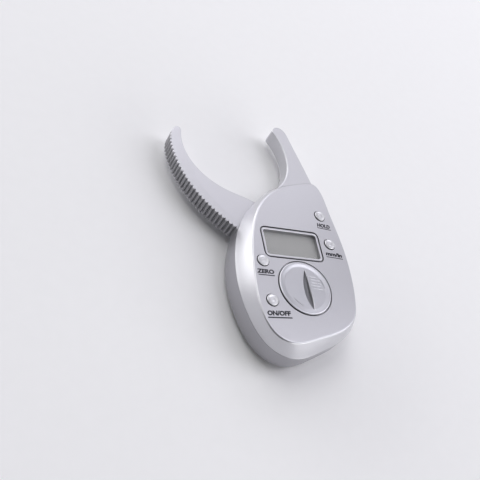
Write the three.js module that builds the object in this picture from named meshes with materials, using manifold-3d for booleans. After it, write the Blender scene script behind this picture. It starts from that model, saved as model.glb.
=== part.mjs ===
// Digital skinfold caliper, opened to its rest position.
// Millimetres. +Z is the direction the face looks, +Y points along the jaws,
// +X is to the right of somebody reading the display. Z = 0 is the flat back.
import * as THREE from 'three';
import { mergeVertices } from 'three/addons/utils/BufferGeometryUtils.js';
import Module from 'manifold-3d';

const wasm = await Module();
wasm.setup();

// ---------------------------------------------------------------- dimensions
const FACE_Z = 20;            // top of the face plate
const SEAM_Z = 12;            // parting plane of the two covers
const SEAM_GAP = 0.3;         // open line between the covers
const WALL = 2.0;             // moulded wall thickness
const FLOOR = 1.8;            // floor of the rear cover
const PLATE = 2.0;            // thickness of the face plate
const JAW_Z0 = 3.4;           // back face of both jaws
const JAW_Z1 = 11.7;          // front face of both jaws
const CENTRE = [1.5, 18];     // pole of the two body outlines
const PIVOT = [-4, 28];       // jaw pivot, under the display
const HUB_R = 9.7;
const POST_R = 3.4;           // moulded post that the hub turns on
const BATT = [0, 0.9];        // battery opening
const COVER_R = 13.15;        // visible radius of the battery cover
const CELL_R = 10;            // 20 mm x 3.2 mm coin cell
const CELL_H = 3.2;
const BUTTONS = {
  zero: [-18.8, 13.0],
  on_off: [-18.2, -6.3],
  hold: [18.5, 41.8],
  mm_in: [19.8, 25.8],
};
const BUTTON_R = 2.75;
const CASE_SCREWS = [[-15.5, -18], [17.5, -11.8], [-21.6, 20.2], [17.2, 53], [23.2, 49.5]];
const IN_ARM = [3, 4];        // these two also pass through the root of the fixed jaw
const BOARD_SCREWS = [[7, -16.5], [20.8, 14.8], [-6.2, 44]];
const RIB_PITCH = 2.146;
const RIB_DEPTH = 1.0;
const RIBS = 31;              // grooves of the thumb edge, tip end included

// radii of the rim of the face plate and of the widest outline, as control
// values of a closed uniform cubic B-spline over the full turn
const RIM = [25.56, 25.62, 25.91, 26.44, 27.23, 28.32, 29.75, 31.66, 34.22, 38.03, 43.28, 47.36, 44.92, 41.88,
  39.85, 37.97, 36.11, 34.29, 32.56, 30.92, 29.36, 27.94, 26.68, 25.62, 24.75, 24.07, 23.6, 23.32, 23.23,
  23.35, 23.67, 24.22, 25.01, 26.09, 27.5, 29.32, 31.65, 34.54, 37.81, 41.24, 44.08, 45.37, 45.32, 43.98, 42,
  40.46, 39.58, 39.02, 38.59, 38.15, 37.53, 36.45, 34.29, 32.03, 30.24, 28.77, 27.61, 26.73, 26.11, 25.72];
const SIDE = [30.56, 30.66, 31.08, 31.82, 32.93, 34.46, 36.49, 39.17, 42.56, 47.36, 51.96, 52.23, 49.66, 47.43,
  45.41, 43.3, 40.83, 38.31, 36.15, 34.51, 33.23, 32.17, 31.27, 30.46, 29.75, 29.21, 28.83, 28.65, 28.66,
  28.87, 29.27, 29.88, 30.69, 31.73, 33, 34.53, 36.33, 38.4, 40.8, 43.44, 45.91, 47.67, 48.44, 48.35, 47.07,
  45.29, 43.67, 42.65, 42.08, 41.62, 41.01, 40.23, 39.28, 38.1, 36.55, 34.88, 33.34, 32.11, 31.26, 30.75];

// edges of the jaws in plan, from the body to the tip and back
const THUMB_EDGE = [[-12.62, 23.48], [-16.08, 28.41], [-20.44, 32.57], [-25.14, 36.35], [-29.75, 40.24],
  [-34.11, 44.42], [-38.12, 48.92], [-41.69, 53.78], [-44.74, 58.99], [-47.22, 64.49], [-49.11, 70.22],
  [-50.33, 76.12], [-50.66, 82.14], [-49.4, 88.02]];
const SWING_INNER = [[-44.62, 88.48], [-44.99, 82.62], [-44.03, 76.82], [-41.87, 71.35], [-38.66, 66.42],
  [-34.61, 62.16], [-29.85, 58.7], [-24.56, 56.13], [-18.99, 54.21], [-13.45, 52.23], [-8.27, 49.45],
  [-3.89, 45.53], [-0.42, 40.78], [2.14, 35.49]];
const FIXED_OUTER = [[30.42, 45.6], [29.44, 52.34], [27.97, 60.44], [26.26, 68.48], [24.37, 76.49],
  [22.36, 84.47], [20.31, 92.44], [18.27, 100.41]];
const FIXED_INNER = [[9.59, 100.35], [11.38, 96.46], [12.72, 92.39], [13.57, 88.19], [13.87, 83.91],
  [13.58, 79.64], [12.63, 75.46], [11.02, 71.49], [8.78, 67.84], [5.94, 64.63], [3.2, 61.8]];
const FIXED_ROOT = [[5.5, 59.6], [8.2, 56.6], [11.2, 52.2], [12.6, 48], [13, 45.6]];

// ------------------------------------------------------------------- helpers
const V = (x, y, z) => new THREE.Vector3(x, y, z);

function radius(ctrl, angle) {
  const n = ctrl.length;
  const t = ((angle / (2 * Math.PI)) % 1 + 1) % 1 * n;
  const i = Math.floor(t), f = t - i;
  const at = (k) => ctrl[(k % n + n) % n];
  return ((1 - f) ** 3 * at(i - 1) + (3 * f ** 3 - 6 * f ** 2 + 4) * at(i)
    + (-3 * f ** 3 + 3 * f ** 2 + 3 * f + 1) * at(i + 1) + f ** 3 * at(i + 2)) / 6;
}

function ring(n, r, z) {
  const out = [];
  for (let k = 0; k < n; k++) {
    const a = k / n * 2 * Math.PI;
    const q = r(a);
    out.push(V(CENTRE[0] + q * Math.cos(a), CENTRE[1] + q * Math.sin(a), typeof z === 'function' ? z(a) : z));
  }
  return out;
}

function loft(rings) {
  const pos = [], n = rings[0].length;
  const tri = (a, b, c) => pos.push(a.x, a.y, a.z, b.x, b.y, b.z, c.x, c.y, c.z);
  for (let i = 0; i + 1 < rings.length; i++) {
    for (let j = 0; j < n; j++) {
      const k = (j + 1) % n;
      tri(rings[i][j], rings[i][k], rings[i + 1][k]);
      tri(rings[i][j], rings[i + 1][k], rings[i + 1][j]);
    }
  }
  const low = rings[0], top = rings[rings.length - 1];
  const cl = V(CENTRE[0], CENTRE[1], low[0].z), ct = V(CENTRE[0], CENTRE[1], top[0].z);
  for (let j = 0; j < n; j++) {
    const k = (j + 1) % n;
    tri(cl, low[k], low[j]);
    tri(ct, top[j], top[k]);
  }
  const g = new THREE.BufferGeometry();
  g.setAttribute('position', new THREE.Float32BufferAttribute(pos, 3));
  return g;
}

function prism(points, z0, z1) {
  const shape = new THREE.Shape(points.map((p) => new THREE.Vector2(p[0], p[1])));
  const g = new THREE.ExtrudeGeometry(shape, { depth: z1 - z0, bevelEnabled: false });
  g.translate(0, 0, z0);
  return g;
}

function cyl(x, y, r, z0, z1, seg = 24) {
  const g = new THREE.CylinderGeometry(r, r, z1 - z0, seg);
  g.rotateX(Math.PI / 2);
  g.translate(x, y, (z0 + z1) / 2);
  return g;
}

function block(x0, x1, y0, y1, z0, z1) {
  const g = new THREE.BoxGeometry(x1 - x0, y1 - y0, z1 - z0);
  g.translate((x0 + x1) / 2, (y0 + y1) / 2, (z0 + z1) / 2);
  return g;
}

function roundRect(x0, x1, y0, y1, r, per = 4) {
  const p = [];
  for (const [cx, cy, a0] of [[x1 - r, y1 - r, 0], [x0 + r, y1 - r, 90], [x0 + r, y0 + r, 180], [x1 - r, y0 + r, 270]]) {
    for (let k = 0; k <= per; k++) {
      const a = (a0 + 90 * k / per) * Math.PI / 180;
      p.push([cx + r * Math.cos(a), cy + r * Math.sin(a)]);
    }
  }
  return p;
}

function turned(x, y, profile, seg = 32) {
  const g = new THREE.LatheGeometry(profile.map((p) => new THREE.Vector2(p[0], p[1])), seg);
  g.rotateX(Math.PI / 2);
  g.translate(x, y, 0);
  return g;
}

function sector(x, y, r0, r1, a0, a1, z0, z1, per = 10) {
  const p = [];
  const rad = (d) => d * Math.PI / 180;
  for (let k = 0; k <= per; k++) p.push([x + r1 * Math.cos(rad(a0 + (a1 - a0) * k / per)), y + r1 * Math.sin(rad(a0 + (a1 - a0) * k / per))]);
  for (let k = per; k >= 0; k--) p.push([x + r0 * Math.cos(rad(a0 + (a1 - a0) * k / per)), y + r0 * Math.sin(rad(a0 + (a1 - a0) * k / per))]);
  return prism(p, z0, z1);
}

function solid(geometry) {
  let g = geometry.index ? geometry.toNonIndexed() : geometry.clone();
  for (const key of Object.keys(g.attributes)) if (key !== 'position') g.deleteAttribute(key);
  g = mergeVertices(g, 1e-5);
  const idx = [];
  const src = g.index.array;
  for (let i = 0; i < src.length; i += 3) {
    if (src[i] !== src[i + 1] && src[i + 1] !== src[i + 2] && src[i] !== src[i + 2]) idx.push(src[i], src[i + 1], src[i + 2]);
  }
  let m = new wasm.Manifold(new wasm.Mesh({
    numProp: 3,
    vertProperties: new Float32Array(g.attributes.position.array),
    triVerts: new Uint32Array(idx),
  }));
  return m;
}
const join = (...gs) => gs.map((g) => (g instanceof THREE.BufferGeometry ? solid(g) : g)).reduce((a, b) => a.add(b));
const cut = (base, ...gs) => gs.map((g) => (g instanceof THREE.BufferGeometry ? solid(g) : g))
  .reduce((a, b) => a.subtract(b), base instanceof THREE.BufferGeometry ? solid(base) : base);

function toGeometry(manifold) {
  const m = manifold.getMesh();
  const g = new THREE.BufferGeometry();
  const p = new Float32Array(m.vertProperties.length / m.numProp * 3);
  for (let i = 0; i < p.length / 3; i++) for (let k = 0; k < 3; k++) p[i * 3 + k] = m.vertProperties[i * m.numProp + k];
  g.setAttribute('position', new THREE.BufferAttribute(p, 3));
  g.setIndex(new THREE.BufferAttribute(new Uint32Array(m.triVerts), 1));
  const flat = g.toNonIndexed();
  flat.computeVertexNormals();
  return flat;
}

// smooth open line through points (natural cubic spline over chord length)
function smooth(points, n) {
  const m = points.length - 1;
  const s = [0];
  for (let i = 0; i < m; i++) s.push(s[i] + Math.hypot(points[i + 1][0] - points[i][0], points[i + 1][1] - points[i][1]));
  const second = (v) => {
    const a = Array(m + 1).fill(0), c = Array(m + 1).fill(0), d = Array(m + 1).fill(0);
    for (let i = 1; i < m; i++) {
      const h0 = s[i] - s[i - 1], h1 = s[i + 1] - s[i];
      const w = 2 * (h0 + h1) - h0 * c[i - 1];
      c[i] = h1 / w;
      d[i] = (6 * ((v[i + 1] - v[i]) / h1 - (v[i] - v[i - 1]) / h0) - h0 * d[i - 1]) / w;
    }
    for (let i = m - 1; i > 0; i--) a[i] = d[i] - c[i] * a[i + 1];
    return a;
  };
  const xs = points.map((p) => p[0]), ys = points.map((p) => p[1]);
  const mx = second(xs), my = second(ys);
  const out = [];
  let i = 0;
  for (let k = 0; k < n; k++) {
    const t = Math.min(s[m], s[m] * k / (n - 1));
    while (i < m - 1 && t > s[i + 1]) i++;
    const h = s[i + 1] - s[i], A = (s[i + 1] - t) / h, B = (t - s[i]) / h;
    const f = (v, q) => A * v[i] + B * v[i + 1] + ((A ** 3 - A) * q[i] + (B ** 3 - B) * q[i + 1]) * h * h / 6;
    out.push([f(xs, mx), f(ys, my)]);
  }
  return out;
}

// ----------------------------------------------------------------- the piece list
const caliper = new THREE.Group();
caliper.name = 'skinfold_caliper';
const finishes = {
  silver: { color: 0xc4c4c9, roughness: 0.34, metalness: 0.45 },
  silver_jaw: { color: 0xccccd0, roughness: 0.38, metalness: 0.35 },
  button: { color: 0xc9c9ce, roughness: 0.26, metalness: 0.6 },
  steel: { color: 0xb9bcc0, roughness: 0.28, metalness: 1.0 },
  spring: { color: 0x8f9296, roughness: 0.35, metalness: 1.0 },
  board: { color: 0x1f6b3c, roughness: 0.55, metalness: 0.0 },
  glass: { color: 0x9a9c93, roughness: 0.18, metalness: 0.0 },
  lens: { color: 0xe4ecee, roughness: 0.05, metalness: 0.0, transparent: true, opacity: 0.35 },
  rubber: { color: 0x232325, roughness: 0.8, metalness: 0.0 },
  black: { color: 0x1a1a1c, roughness: 0.5, metalness: 0.0 },
  copper: { color: 0xb98a4a, roughness: 0.3, metalness: 1.0 },
  nylon: { color: 0xe9e8e2, roughness: 0.5, metalness: 0.0 },
};
function add(name, shape, finish) {
  const g = shape instanceof THREE.BufferGeometry ? shape : toGeometry(shape);
  const mesh = new THREE.Mesh(g, new THREE.MeshStandardMaterial(finishes[finish]));
  mesh.name = name;
  caliper.add(mesh);
}

// ---------------------------------------------------------------- front cover
const N = 56;
const RT0 = SEAM_Z + SEAM_GAP / 2;
const H = FACE_Z - RT0;
// rounded rim, wider towards the jaws, then a side that leans out to the seam
const rimR = (a) => 1.15 + 0.3 * Math.cos(a - 1.92);
function side(a, u) {
  const w = radius(SIDE, a) - radius(RIM, a), r = rimR(a);
  let q = 1.1;
  for (let k = 0; k < 12; k++) q = Math.atan2(H - r * (1 - Math.cos(q)), w - r * Math.sin(q));
  if (u <= 0) return [r * Math.sin(q * (1 + u)), r * (1 - Math.cos(q * (1 + u)))];
  const x = r * Math.sin(q), z = r * (1 - Math.cos(q));
  return [x + (w - x) * u + 0.15 * Math.sin(Math.PI * u) * Math.sin(q), z + (H - z) * u - 0.15 * Math.sin(Math.PI * u) * Math.cos(q)];
}
const domeR = (u, inset) => (a) => radius(RIM, a) + side(a, u)[0] - inset;
const domeZ = (u, drop) => (a) => FACE_Z - side(a, u)[1] - drop;
const domeOuter = solid(loft([
  ring(N, domeR(1, 0), RT0), ring(N, domeR(0.5, 0), domeZ(0.5, 0)), ring(N, domeR(0, 0), domeZ(0, 0)),
  ring(N, domeR(-0.45, 0), domeZ(-0.45, 0)), ring(N, domeR(-1, 0), FACE_Z),
]));
const domeInner = loft([
  ring(N, domeR(1, WALL), RT0 - 1), ring(N, domeR(1, WALL), RT0), ring(N, domeR(0.5, WALL), domeZ(0.5, 0.4)),
  ring(N, domeR(0, WALL - 0.1), domeZ(0, 0.9)), ring(N, domeR(-1, 1.0), FACE_Z - PLATE),
]);
let front = cut(domeOuter, domeInner);
// bosses, board posts and battery well, trimmed to the outside of the shell
let inner = CASE_SCREWS.map((p) => solid(cyl(p[0], p[1], 2.4, SEAM_Z + 0.15, 18.4, 14)))
  .concat(BOARD_SCREWS.map((p) => solid(cyl(p[0], p[1], 1.9, 14.0, 18.4, 12))))
  .concat([cut(cyl(BATT[0], BATT[1], 14.1, 14.4, 18.4, 40), cyl(BATT[0], BATT[1], 13.2, 13, 17.6, 40))])
  .reduce((a, b) => a.add(b)).intersect(domeOuter);
front = front.add(inner);
const win = { x0: -15.6, x1: 12.3, y0: 16.9, y1: 29.2 };
const bevelRing = (() => {
  // sloped frame around the display window
  const up = roundRect(win.x0 - 1.15, win.x1 + 1.15, win.y0 - 1.25, win.y1 + 1.5, 2.0);
  const dn = roundRect(win.x0, win.x1, win.y0, win.y1, 1.2);
  const rr = [dn.map((p) => V(p[0], p[1], 19.25)), up.map((p) => V(p[0], p[1], FACE_Z)), up.map((p) => V(p[0], p[1], FACE_Z + 1))];
  const save = [...CENTRE];
  CENTRE[0] = (win.x0 + win.x1) / 2; CENTRE[1] = (win.y0 + win.y1) / 2;
  const g = loft(rr);
  CENTRE[0] = save[0]; CENTRE[1] = save[1];
  return g;
})();
front = cut(front,
  cyl(BATT[0], BATT[1], 13.6, 18.4, 21, 48), cyl(BATT[0], BATT[1], 11.9, 13, 19, 40),
  sector(BATT[0], BATT[1], 11, 13.19, 115, 155, 17.0, 18.5, 5), sector(BATT[0], BATT[1], 11, 13.19, 295, 335, 17.0, 18.5, 5),
  prism(roundRect(win.x0, win.x1, win.y0, win.y1, 1.2), 17, 21), bevelRing,
  prism(roundRect(win.x0 - 1, win.x1 + 0.9, win.y0 - 1.1, win.y1 + 1.2, 1.5), 17, 19),
  ...Object.values(BUTTONS).map((b) => cyl(b[0], b[1], BUTTON_R + 0.3, 15, 21, 20)),
  ...Object.values(BUTTONS).map((b) => cyl(b[0], b[1], 3.8, 15.5, FACE_Z - PLATE, 16)),
  ...CASE_SCREWS.map((p) => cyl(p[0], p[1], 1.2, 11, 16.5, 8)),
  ...BOARD_SCREWS.map((p) => cyl(p[0], p[1], 0.95, 13, 16.9, 8)));
add('front_cover', front, 'silver');

// ----------------------------------------------------------------- rear cover
const bulge = (a) => 1.1 * Math.exp(-(((a - Math.PI * 1.04) / 0.62) ** 2));
const rearR = (inset) => (a) => radius(SIDE, a) + bulge(a) * (inset === null ? 0 : 1) - (inset || 0);
const RT = SEAM_Z - SEAM_GAP / 2;
let rear = cut(loft([
  ring(N, rearR(3.6), 0), ring(N, rearR(1.7), 0.75), ring(N, rearR(0.45), 2.4), ring(N, rearR(0), 5),
  ring(N, (a) => radius(SIDE, a) + bulge(a) * 0.6, 9.4), ring(N, rearR(null), RT),
]), loft([
  ring(N, rearR(4.6), FLOOR), ring(N, rearR(3.0), 2.7), ring(N, rearR(WALL), 5.2),
  ring(N, (a) => radius(SIDE, a) + bulge(a) * 0.6 - WALL, 9.4), ring(N, (a) => radius(SIDE, a) - WALL, RT), ring(N, (a) => radius(SIDE, a) - WALL, RT + 1),
]));
const rearOuter = loft([ring(N, rearR(2), 0.6), ring(N, rearR(2), RT)]);
rear = rear.add([
  ...CASE_SCREWS.map((p, i) => solid(cyl(p[0], p[1], 3.2, 1, IN_ARM.includes(i) ? JAW_Z0 - 0.3 : RT, 14))),
  solid(cyl(PIVOT[0], PIVOT[1], POST_R, 1, 9.6, 20)),
  solid(cyl(PIVOT[0], PIVOT[1], 4.3, 1, 2.1, 20)),
  solid(cyl(-16.2, 21.4, 1.5, 1, 3.1, 10)),               // anchor of the spring's lower leg
  solid(cyl(-19.6, 28.0, 1.7, 1, 10.5, 10)),              // stop of the swinging jaw
].reduce((a, b) => a.add(b)).intersect(solid(rearOuter)));
rear = cut(rear,
  // way of the swinging jaw through the side wall
  prism([[3.6, 57], [3.6, 76], [-60, 76], [-60, 65], [-30.3, 39.55], [-25.7, 35.7], [-20.98, 31.91], [-19.5, 33.5], [-14.5, 42.5], [-8, 49.5], [-3, 54]], JAW_Z0 - 0.4, RT + 1),
  // seat of the fixed jaw in the top wall
  prism([[3.0, 60], [3.0, 80], [40, 80], [40, 45.3], [12.7, 45.3], [12.3, 48], [10.9, 52.1], [8, 56.3], [5.3, 59.3]], JAW_Z0 - 0.3, RT + 1),
  ...CASE_SCREWS.map((p) => cyl(p[0], p[1], 1.2, -1, 13, 8)),
  ...CASE_SCREWS.map((p) => cyl(p[0], p[1], 2.5, -1, 2.2, 14)),
  cyl(PIVOT[0], PIVOT[1], 1.3, 3, 10, 8));
add('rear_cover', rear, 'silver');

// ----------------------------------------------------------------- fixed jaw
{
  const out = smooth(FIXED_OUTER, 10), inn = smooth(FIXED_INNER, 20);
  // rounded tip between the two edges
  const tip = smooth([[18.27, 100.41], [17.2, 102.9], [14.9, 104.9], [12.2, 105.0], [10.1, 103.5], [9.3, 101.8], [9.59, 100.35]], 10).slice(1, -1);
  const plan = [...out, ...tip, ...inn, ...FIXED_ROOT];
  let jaw = solid(prism(plan, JAW_Z0, JAW_Z1));
  jaw = cut(jaw, ...IN_ARM.map((i) => cyl(CASE_SCREWS[i][0], CASE_SCREWS[i][1], 1.25, 0, 14, 8)));
  add('fixed_jaw', jaw, 'silver_jaw');
}

// ---------------------------------------------------------------- moving jaw
{
  const edge = smooth(THUMB_EDGE, 400);
  // ribs along the thumb edge, square to the face
  const line = [];
  const total = edge.reduce((q, p, i) => q + (i ? Math.hypot(p[0] - edge[i - 1][0], p[1] - edge[i - 1][1]) : 0), 0);
  const ribs0 = 12.15;
  const at = (d) => {
    let q = 0;
    for (let i = 1; i < edge.length; i++) {
      const l = Math.hypot(edge[i][0] - edge[i - 1][0], edge[i][1] - edge[i - 1][1]);
      if (q + l >= d || i === edge.length - 1) {
        const f = Math.min(1, (d - q) / l);
        const t = [(edge[i][0] - edge[i - 1][0]) / l, (edge[i][1] - edge[i - 1][1]) / l];
        return { p: [edge[i - 1][0] + t[0] * l * f, edge[i - 1][1] + t[1] * l * f], n: [t[1], -t[0]] };
      }
      q += l;
    }
    return null;
  };
  const push = (d, depth) => { const o = at(d); line.push([o.p[0] + o.n[0] * depth, o.p[1] + o.n[1] * depth]); };
  for (let k = 0; k < 6; k++) push((ribs0 - 0.6) * k / 6, 0);
  push(ribs0 - 0.6, 0);
  for (let k = 0; k < RIBS; k++) {
    const b = ribs0 + k * RIB_PITCH;
    push(b, RIB_DEPTH); push(b + RIB_PITCH * 0.28, 0); push(b + RIB_PITCH * 0.72, 0);
  }
  push(total, 0);
  const inn = smooth(SWING_INNER, 24);
  const tip = smooth([[-49.4, 88.02], [-48.6, 89.9], [-47.1, 91.2], [-45.6, 91.3], [-44.6, 90.2], [-44.62, 88.48]], 9).slice(1, -1);
  const hub = [];
  for (let k = 1; k < 20; k++) {
    const a = (50.7 - 203.1 * k / 20) * Math.PI / 180;
    hub.push([PIVOT[0] + HUB_R * Math.cos(a), PIVOT[1] + HUB_R * Math.sin(a)]);
  }
  let jaw = solid(prism([...line, ...tip, ...inn, ...hub], JAW_Z0, JAW_Z1));
  jaw = cut(jaw,
    cyl(PIVOT[0], PIVOT[1], POST_R + 0.3, 0, 14, 20),
    cyl(PIVOT[0], PIVOT[1], 5.7, 9.6, 14, 24),
    cyl(PIVOT[0], PIVOT[1], 7.2, 0, 6.6, 24),
    prism([[-9.6, 31.2], [-8.6, 32.4], [-13.4, 36.4], [-14.4, 35.2]], 0, 6.6));
  add('moving_jaw', jaw, 'silver_jaw');
}
add('pivot_screw', join(cyl(PIVOT[0], PIVOT[1], 1.0, 4, 10.8, 10), cut(cyl(PIVOT[0], PIVOT[1], 2.6, 10.6, 11.5, 16),
  block(PIVOT[0] - 1.5, PIVOT[0] + 1.5, PIVOT[1] - 0.3, PIVOT[1] + 0.3, 11.1, 12), block(PIVOT[0] - 0.3, PIVOT[0] + 0.3, PIVOT[1] - 1.5, PIVOT[1] + 1.5, 11.1, 12))), 'steel');
add('pivot_washer', cut(cyl(PIVOT[0], PIVOT[1], 5.2, 9.9, 10.3, 20), cyl(PIVOT[0], PIVOT[1], 1.35, 9, 11, 10)), 'nylon');
add('rotor_plate', cut(cyl(PIVOT[0], PIVOT[1], 9.3, 12.0, 12.35, 28), cyl(PIVOT[0], PIVOT[1], 6.1, 11, 13, 20)), 'copper');

// torsion spring round the post, below the hub
{
  const pts = [];
  const r = 5.3, rad = Math.PI / 180, z0 = 2.75, z1 = 5.9;
  const a0 = 215, a1 = 215 - 360 * 3 - 72;          // turning clockwise seen from the face
  // lower leg: from the anchor post to the coil, tangent at a0
  const s = V(PIVOT[0] + r * Math.cos(a0 * rad), PIVOT[1] + r * Math.sin(a0 * rad), z0);
  const dir = V(-Math.sin(a0 * rad), Math.cos(a0 * rad), 0);   // away from the way the coil winds
  for (const d of [6.8, 4.5, 2.2]) pts.push(V(s.x + dir.x * d, s.y + dir.y * d, z0));
  const n = 58;
  for (let k = 0; k <= n; k++) {
    const a = (a0 + (a1 - a0) * k / n) * rad;
    pts.push(V(PIVOT[0] + r * Math.cos(a), PIVOT[1] + r * Math.sin(a), z0 + (z1 - z0) * k / n));
  }
  for (const q of [6.2, 7.6, 9.0, 10.2]) pts.push(V(PIVOT[0] + q * Math.cos(a1 * rad), PIVOT[1] + q * Math.sin(a1 * rad), z1));
  const path = new THREE.CatmullRomCurve3(pts, false, 'centripetal');
  const wire = new THREE.Shape();
  for (let k = 0; k < 5; k++) {
    const p = [0.36 * Math.cos(k * Math.PI / 2.5), 0.36 * Math.sin(k * Math.PI / 2.5)];
    if (k) wire.lineTo(p[0], p[1]); else wire.moveTo(p[0], p[1]);
  }
  wire.closePath();
  add('torsion_spring', solid(new THREE.ExtrudeGeometry(wire, { steps: 56, bevelEnabled: false, extrudePath: path })), 'spring');
}

// --------------------------------------------------------------- electronics
let board = solid(loft([ring(40, (a) => radius(RIM, a) - 1.2, 12.8), ring(40, (a) => radius(RIM, a) - 1.2, 13.7)]));
board = cut(board, ...CASE_SCREWS.map((p) => cyl(p[0], p[1], 2.8, 12, 15, 12)), ...BOARD_SCREWS.map((p) => cyl(p[0], p[1], 0.95, 12, 15, 8)));
add('circuit_board', board, 'board');
BOARD_SCREWS.forEach((p, i) => add(`board_screw_${i + 1}`, join(cyl(p[0], p[1], 0.65, 12.3, 16.4, 8), cyl(p[0], p[1], 1.55, 12.0, 12.55, 12)), 'steel'));
add('lcd_glass', prism(roundRect(-16.2, 12.8, 16.0, 30.2, 0.4, 2), 16.3, 17.7), 'glass');
add('lcd_connector_lower', block(-13, 10, 16.5, 18.0, 14.0, 16.0), 'rubber');
add('lcd_connector_upper', block(-13, 10, 28.2, 29.7, 14.0, 16.0), 'rubber');
add('display_window', prism(roundRect(win.x0 - 0.7, win.x1 + 0.6, win.y0 - 0.8, win.y1 + 0.9, 1.3), 18.05, 18.7), 'lens');
add('controller_chip', turned(19.4, 4.6, [[0, 14.0], [3.0, 14.0], [2.8, 14.6], [2.0, 15.1], [0, 15.35]], 14), 'black');
add('clock_crystal', join(cyl(0, 0, 1.0, 0, 5.6, 12)).rotate([90, 0, 0]).translate([18.6, -0.6, 15.05]), 'steel');
for (const [key, b] of Object.entries(BUTTONS)) {
  add(`switch_${key}`, join(block(b[0] - 2.2, b[0] + 2.2, b[1] - 2.2, b[1] + 2.2, 14.0, 15.8), cyl(b[0], b[1], 1.1, 15.6, 16.3, 10)), 'black');
  add(`button_${key}`, turned(b[0], b[1], [[0, 17.0], [1.3, 17.0], [1.3, 17.2], [3.4, 17.2], [3.4, 17.7], [BUTTON_R, 17.7], [BUTTON_R, 20.2],
    [BUTTON_R - 0.1, 20.4], [BUTTON_R - 0.35, 20.5], [BUTTON_R - 0.75, 20.48], [BUTTON_R - 1.2, 20.32], [0, 20.3]], 16), 'button');
}

// ------------------------------------------------------------------- battery
add('coin_cell', turned(BATT[0], BATT[1], [[0, 14.5], [8.8, 14.5], [CELL_R, 15.0], [CELL_R, 14.5 + CELL_H - 0.25],
  [CELL_R - 0.25, 14.5 + CELL_H], [0, 14.5 + CELL_H]], 28), 'steel');
add('battery_contact_negative', join(block(-7, 7, -1.6, 3.4, 14.0, 14.2)), 'copper');
add('battery_contact_positive', sector(BATT[0], BATT[1], 10.3, 10.6, 190, 260, 14.0, 16.0, 6), 'copper');
{
  const [x, y] = BATT;
  let cover = join(
    turned(x, y, [[0, 17.9], [11.5, 17.9], [11.5, 19.25], [COVER_R, 19.25], [COVER_R, 19.85], [COVER_R - 0.35, 20.2], [COVER_R - 0.85, 20.3], [11.7, 20.15], [11.2, 20.05], [0, 20.05]], 40),
    cut(cyl(x, y, 11.5, 16.4, 18.0, 40), cyl(x, y, 10.6, 16, 17.9, 32)),
    sector(x, y, 11.2, 12.9, 74, 106, 16.4, 17.2, 4), sector(x, y, 11.2, 12.9, 254, 286, 16.4, 17.2, 4));
  // deep coin slot, bowed on its left and straight on its right
  const slot = [...smooth([[1.7, 10.4], [0.35, 7], [-0.6, 3.5], [-1, -0.9], [-0.5, -5], [0.6, -7.9], [2.05, -9.9]], 11), ...smooth([[2.05, -9.9], [2.5, -6.6], [2.45, -2], [2.25, 2.3], [2.05, 6.2], [1.7, 10.4]], 6).slice(1, -1)];
  cover = cut(cover, prism(slot.reverse(), 18.5, 21));
  add('battery_cover', cover, 'silver');
}
{
  const g = new THREE.TorusGeometry(12.7, 0.28, 5, 32);
  g.translate(BATT[0], BATT[1], 18.82);
  add('battery_cover_seal', solid(g), 'rubber');
}

// --------------------------------------------------------------- case screws
CASE_SCREWS.forEach((p, i) => {
  const head = cut(cyl(p[0], p[1], 2.2, 0.5, 1.9, 14), block(p[0] - 1.3, p[0] + 1.3, p[1] - 0.28, p[1] + 0.28, 0, 1.1), block(p[0] - 0.28, p[0] + 0.28, p[1] - 1.3, p[1] + 1.3, 0, 1.1));
  add(`case_screw_${i + 1}`, join(head, cyl(p[0], p[1], 0.9, 1.8, 16.0, 8)), 'steel');
});

export default caliper;
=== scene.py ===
"""Looks of the digital skinfold caliper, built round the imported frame.

Working numbers are millimetres in the row frame; every mesh is scaled to metres when it is made.
"""
import math

import bmesh
import bpy
import numpy as np
from mathutils import Matrix, Vector
from mathutils.geometry import delaunay_2d_cdt


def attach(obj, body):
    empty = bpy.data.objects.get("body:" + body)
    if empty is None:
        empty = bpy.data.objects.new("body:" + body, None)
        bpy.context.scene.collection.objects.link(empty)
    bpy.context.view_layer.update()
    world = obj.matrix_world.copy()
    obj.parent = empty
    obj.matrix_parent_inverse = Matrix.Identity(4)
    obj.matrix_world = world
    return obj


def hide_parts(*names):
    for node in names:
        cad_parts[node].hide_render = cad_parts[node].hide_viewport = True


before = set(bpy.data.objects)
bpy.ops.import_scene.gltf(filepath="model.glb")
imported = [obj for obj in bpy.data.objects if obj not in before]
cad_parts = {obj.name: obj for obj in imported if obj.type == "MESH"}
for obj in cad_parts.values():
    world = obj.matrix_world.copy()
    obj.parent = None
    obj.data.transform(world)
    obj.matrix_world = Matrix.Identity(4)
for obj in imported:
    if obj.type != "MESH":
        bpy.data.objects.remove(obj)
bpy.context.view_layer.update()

MM = 0.001
SCENE = bpy.context.scene

# ---------------------------------------------------------------- shared sizes
FACE_Z = 20.0
SEAM_LO, SEAM_HI = 11.94, 12.06
WALL = 2.0
JAW_Z0, JAW_Z1 = 3.4, 11.7
CENTRE = (1.5, 18.0)
PIVOT = (-4.0, 28.0)
BATT = (0.0, 0.9)
BUTTONS = {"zero": (-18.8, 13.0), "on_off": (-18.2, -6.3), "hold": (18.5, 41.8), "mm_in": (19.8, 25.8)}
CASE_SCREWS = [(-15.5, -18.0), (17.5, -11.8), (-21.6, 20.2), (17.2, 53.0), (23.2, 49.5)]
WIN = (-15.5, 12.7, 16.8, 30.0)          # display opening, x0 x1 y0 y1

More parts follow.
